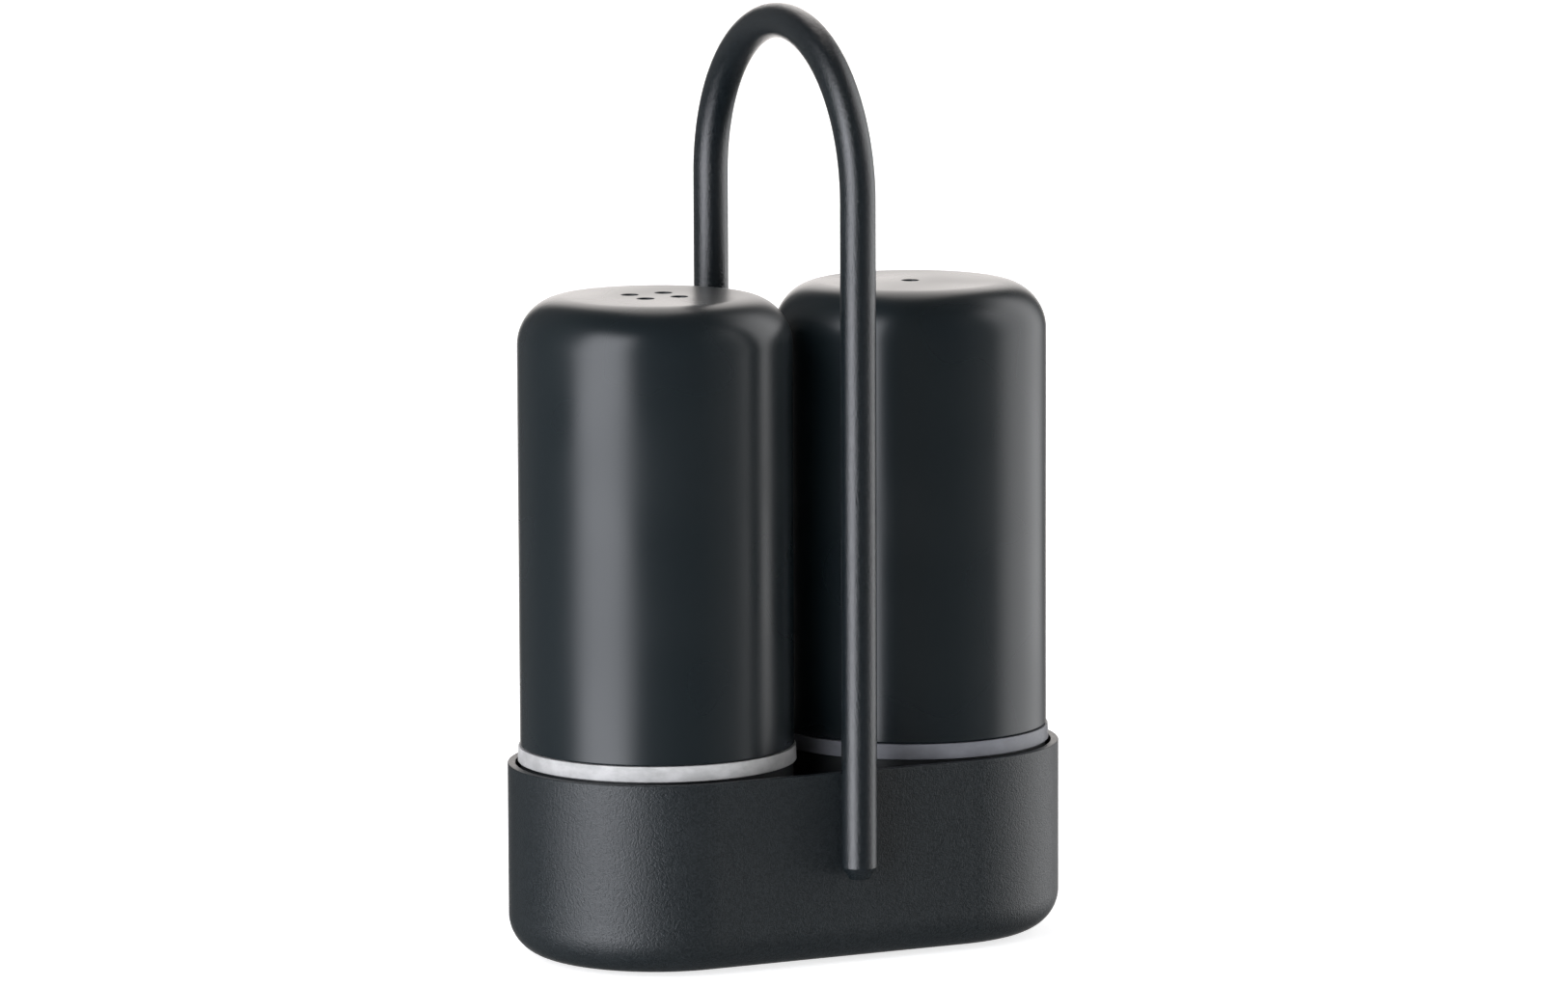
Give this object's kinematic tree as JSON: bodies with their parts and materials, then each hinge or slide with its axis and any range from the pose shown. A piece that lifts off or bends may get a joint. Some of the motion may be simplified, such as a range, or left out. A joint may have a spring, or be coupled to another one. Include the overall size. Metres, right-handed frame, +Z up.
{
  "type": "salt and pepper shaker set",
  "caption": "Salt and pepper shakers with pull-off shells and coloured rings, standing side by side in a round-ended tray carried by a tall bent-rod handle.",
  "frame": {"origin": "on the table, under the middle of the tray", "axes": "+Z up, X along the tray with the salt shaker at -X and the pepper shaker at +X, Y across it, in the plane of the handle"},
  "size_m": [0.1022, 0.0648, 0.1662],
  "materials": {
    "powder_coat": "fine matte powder coat",
    "rod_coat": "powder coat with a soft sheen",
    "shell_coat": "satin lacquer",
    "cup_plastic": "matte moulded",
    "light_ring": "satin moulded",
    "dark_ring": "satin moulded",
    "seal_rubber": "smooth",
    "pad_rubber": "matte",
    "screw_steel": "turned"
  },
  "bodies": {
    "carrier": {"carrier_tray": "powder_coat", "carrier_handle": "rod_coat", "handle_screws": "screw_steel", "carrier_base_pad": "pad_rubber"},
    "salt_base": {"salt_cup": "cup_plastic", "salt_colour_ring": "light_ring", "salt_seal_ring": "seal_rubber", "salt_foot_pad": "pad_rubber"},
    "salt_top": {"salt_shell": "shell_coat"},
    "pepper_base": {"pepper_cup": "cup_plastic", "pepper_colour_ring": "dark_ring", "pepper_seal_ring": "seal_rubber", "pepper_foot_pad": "pad_rubber"},
    "pepper_top": {"pepper_shell": "shell_coat"}
  },
  "joints": [
    {"name": "salt_lift", "type": "slide", "parent": "carrier", "child": "salt_base", "axis": [0, 0, 1], "range_m": [0, 0.035]},
    {"name": "salt_pull_off", "type": "slide", "parent": "salt_base", "child": "salt_top", "axis": [0, 0, 1], "range_m": [0, 0.009]},
    {"name": "pepper_lift", "type": "slide", "parent": "carrier", "child": "pepper_base", "axis": [0, 0, 1], "range_m": [0, 0.035]},
    {"name": "pepper_pull_off", "type": "slide", "parent": "pepper_base", "child": "pepper_top", "axis": [0, 0, 1], "range_m": [0, 0.009]}
  ]
}
